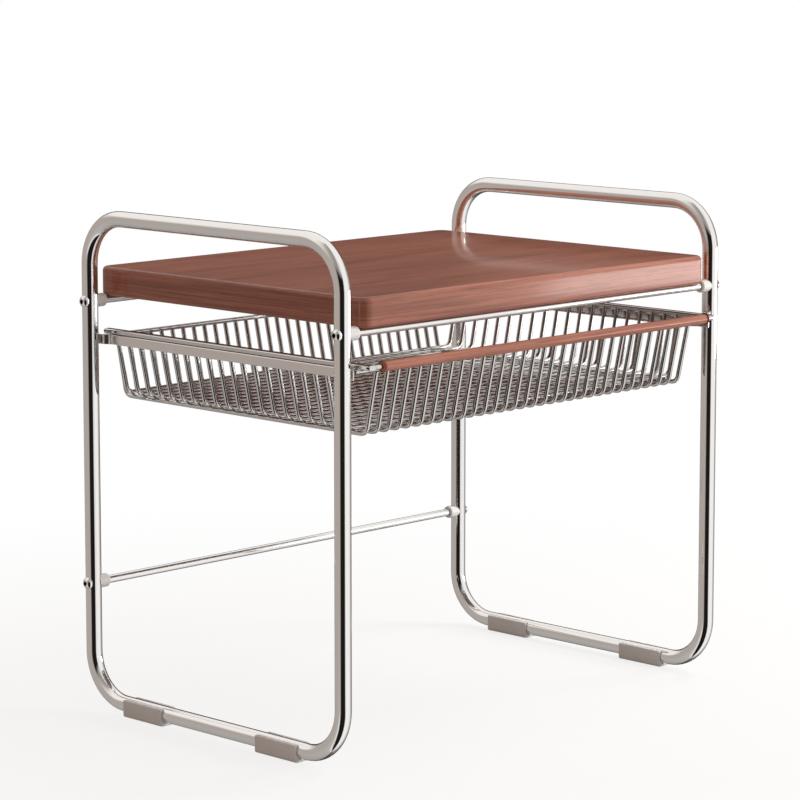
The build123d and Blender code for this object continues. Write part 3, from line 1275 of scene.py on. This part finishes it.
@dataclass(frozen=True)
class Lamp:
    """A soft lamp that only matt surfaces see, or only reflections."""

    name: str
    place: Point
    target: Point
    size: Flat
    watts: float
    colour: Colour
    mirrored: bool

    def hang(self) -> None:
        """Puts the lamp up, turned to its target."""
        data = bpy.data.lights.new(self.name, "AREA")
        data.shape, data.size, data.size_y = "RECTANGLE", *self.size
        data.energy, data.color = self.watts, self.colour
        made = bpy.data.objects.new(self.name, data)
        made.location = self.place
        made.rotation_euler = (Vector(self.target) - Vector(self.place)).to_track_quat("-Z", "Y").to_euler()
        made.visible_glossy, made.visible_diffuse = self.mirrored, not self.mirrored
        bpy.context.scene.collection.objects.link(made)


@dataclass
class Studio:
    """Camera, lamps, floor and surroundings.

    The surroundings' bands go round the camera in degrees, positive to the right of the picture.
    """

    eye: Point = (-2.32436, -2.25441, 0.81372)
    yaw: float = 45.6575
    pitch: float = 7.5127
    focal_pixels: float = 3211.51
    picture_pixels: float = 800.0
    film_width: float = 36.0
    shift: float = -0.1
    far: float = 50.0
    lamps: tuple[Lamp, ...] = (
        Lamp("key", (2.15, -1.3, 0.75), (0.05, 0.0, 0.3), (1.0, 1.0), 54.0, (1.0, 0.985, 0.97), False),
        Lamp("top", (1.35, -0.35, 1.75), (0.1, -0.1, 0.4), (0.8, 0.8), 12.0, (1.0, 0.99, 0.98), False),
        Lamp("card", (2.15, -1.3, 0.19), (0.05, 0.0, 0.3), (1.2, 0.32), 9.0, (1.0, 0.97, 0.95), True))
    tan: Colour = (0.47, 0.415, 0.385)
    white: Colour = (1.0, 0.985, 0.97)
    cream: Colour = (1.0, 0.97, 0.94)
    black: Colour = (0.012, 0.010, 0.009)
    brown: Colour = (0.045, 0.026, 0.019)
    level: Bands = ((-180, brown), (-162, brown), (-150, tan), (-40, tan), (-27, black), (24, black),
                    (36, white), (100, white), (112, (0.5, 0.48, 0.46)), (135, (0.4, 0.37, 0.35)),
                    (152, brown), (180, brown))
    above: Bands = ((-180, cream), (-80, (0.98, 0.94, 0.90)), (-40, (0.46, 0.42, 0.39)),
                    (0, (0.30, 0.27, 0.25)), (45, white), (180, cream))
    below: Bands = ((-180, brown), (-160, (0.35, 0.33, 0.31)), (-60, (0.52, 0.50, 0.48)),
                    (-46, (0.95, 0.93, 0.91)), (-34, black), (26, black), (38, white), (90, white),
                    (150, (0.2, 0.18, 0.17)), (180, brown))
    above_from: Flat = (0.30, 0.52)
    below_from: Flat = (-0.22, -0.36)
    side_range: Flat = (-0.7, 0.9)
    dim_side: Colour = (0.385, 0.305, 0.262)
    lit_side: Colour = (0.72, 0.70, 0.68)
    floor_radius: float = 1.4
    floor_points: int = 96
    floor_fade: Flat = (0.45, 1.05)
    floor_light: float = 0.80
    floor_white: Colour = (0.92, 0.915, 0.91)
    floor_bounce: Colour = (0.40, 0.375, 0.355)

    def camera(self) -> None:
        """Sets the photograph's viewpoint."""
        data = bpy.data.cameras.new("camera")
        data.sensor_width = self.film_width
        data.lens = self.focal_pixels / self.picture_pixels * self.film_width
        data.shift_y = self.shift
        data.clip_end = self.far
        made = bpy.data.objects.new("camera", data)
        made.location = self.eye
        made.rotation_euler = Euler((math.radians(90 - self.pitch), 0.0, math.radians(-self.yaw)))
        bpy.context.scene.collection.objects.link(made)
        bpy.context.scene.camera = made

    def surroundings(self) -> None:
        """White behind the stand, and for its metal and wood a studio with cards on the sides."""
        world = bpy.data.worlds.new("studio")
        bpy.context.scene.world = world
        world.use_nodes = True
        nodes = Nodes(world.node_tree)
        direction = nodes.add("ShaderNodeTexCoord").outputs["Generated"]
        turn = math.radians(90 + self.yaw)
        facing = nodes.out("ShaderNodeVectorRotate", {"Vector": direction, "Angle": turn},
                           rotation_type="Z_AXIS")
        ahead, across, rise = nodes.add("ShaderNodeSeparateXYZ", {0: facing}).outputs
        angle = nodes.math("ARCTAN2", across, ahead)
        around = nodes.math("ADD", nodes.math("DIVIDE", angle, math.tau), 0.5)
        level, above, below = (
            nodes.ramp(around, [(degrees / 360 + 0.5, colour) for degrees, colour in bands])
            for bands in (self.level, self.above, self.below))
        upper = nodes.blend(nodes.between(rise, 0.0, 1.0, *self.above_from), level, above)
        whole = nodes.blend(nodes.between(rise, 0.0, 1.0, *self.below_from), upper, below)
        side = nodes.between(across, 0.0, 1.0, *self.side_range)
        soft = nodes.blend(side, (*self.dim_side, 1.0), (*self.lit_side, 1.0))
        reflected, plain, shown = (nodes.out("ShaderNodeBackground", {"Color": colour})
                                   for colour in (whole, soft, (1.0, 1.0, 1.0, 1.0)))
        ray = nodes.add("ShaderNodeLightPath").outputs
        first = nodes.out("ShaderNodeMixShader", {0: ray["Is Glossy Ray"], 1: plain, 2: reflected})
        clear = nodes.math("MAXIMUM", ray["Is Camera Ray"], ray["Is Transmission Ray"])
        second = nodes.out("ShaderNodeMixShader", {0: clear, 1: first, 2: shown})
        nodes.add("ShaderNodeOutputWorld", {"Surface": second})

    def floor_paint(self) -> bpy.types.Material:
        """Paint that fades into the white and keeps the shadow, and that reflections don't see.

        Returns:
            The material.
        """
        material = bpy.data.materials.new("floor_paint")
        material.use_nodes = True
        nodes = Nodes(material.node_tree)
        place = nodes.add("ShaderNodeTexCoord").outputs["Object"]
        far = nodes.add("ShaderNodeVectorMath", {0: place}, operation="LENGTH").outputs["Value"]
        ray = nodes.add("ShaderNodeLightPath").outputs
        white = nodes.out("ShaderNodeBsdfDiffuse", {"Color": (*self.floor_white, 1.0)})
        glow = nodes.out("ShaderNodeEmission", {"Color": (1.0, 1.0, 1.0, 1.0)})
        seen = nodes.out("ShaderNodeMixShader", {0: self.floor_light, 1: white, 2: glow})
        bounce = nodes.out("ShaderNodeBsdfDiffuse", {"Color": (*self.floor_bounce, 1.0)})
        paint = nodes.out("ShaderNodeMixShader", {0: ray["Is Camera Ray"], 1: bounce, 2: seen})
        fade = nodes.math("MAXIMUM", nodes.between(far, 0.0, 1.0, *self.floor_fade), ray["Is Glossy Ray"])
        mix = nodes.out("ShaderNodeMixShader", {0: fade, 1: paint, 2: nodes.out("ShaderNodeBsdfTransparent")})
        nodes.add("ShaderNodeOutputMaterial", {"Surface": mix})
        return material

    def floor(self) -> None:
        """A pale round floor."""
        ring = arc((0.0, 0.0), self.floor_radius, 0, 360, self.floor_points)[:-1]
        mesh = bpy.data.meshes.new("floor")
        mesh.from_pydata([(x, y, 0.0) for x, y in ring], [], [tuple(range(self.floor_points))])
        mesh.materials.append(self.floor_paint())
        made = bpy.data.objects.new("floor", mesh)
        bpy.context.scene.collection.objects.link(made)

    def build(self) -> None:
        """Sets up the whole studio."""
        self.camera()
        for lamp in self.lamps:
            lamp.hang()
        self.surroundings()
        self.floor()
        bpy.context.scene.view_settings.view_transform = "Standard"


def main() -> None:
    """Builds the studio and every sub-assembly, and places each piece on its body."""
    logging.basicConfig(level=logging.INFO, format="%(name)s: %(message)s")
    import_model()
    Studio().build()
    places = Places.read(tube_radius=0.008)
    assemblies = (SideFrames(places), CrossRods(places), ShelfBoard(), Runners(places), WireBasket(),
                  DrawerHandle())
    for assembly in assemblies:
        for piece in assembly.pieces():
            piece.place()


if __name__ == "__main__":
    main()
